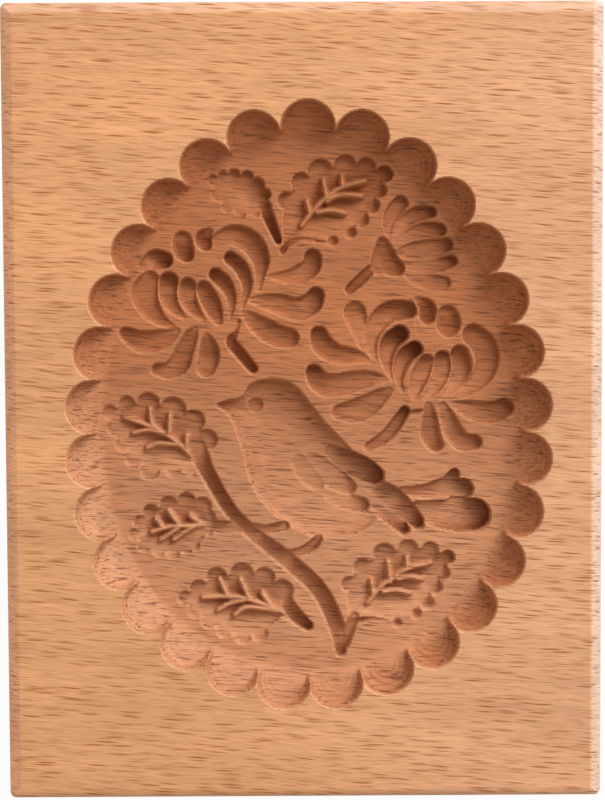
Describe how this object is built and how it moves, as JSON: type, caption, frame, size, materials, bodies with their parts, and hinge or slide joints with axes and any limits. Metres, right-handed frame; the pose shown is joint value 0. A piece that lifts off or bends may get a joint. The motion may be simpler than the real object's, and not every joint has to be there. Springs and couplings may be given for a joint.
{
  "type": "carved cookie mould",
  "caption": "Rectangular beech board with rounded edges; its face holds a scalloped, egg-shaped recess carved with a songbird on a leafy branch among chrysanthemums, for pressing dough.",
  "frame": {"origin": "middle of the flat back, which the board lies on", "axes": "+Z out of the carved face, +Y towards the top of the carved picture, +X to its right, along the grain"},
  "size_m": [0.105, 0.14, 0.02],
  "materials": {
    "beech": "sanded and lightly oiled steamed beech, grain along the width"
  },
  "bodies": {
    "root": {"mould_board": "beech"}
  },
  "joints": []
}
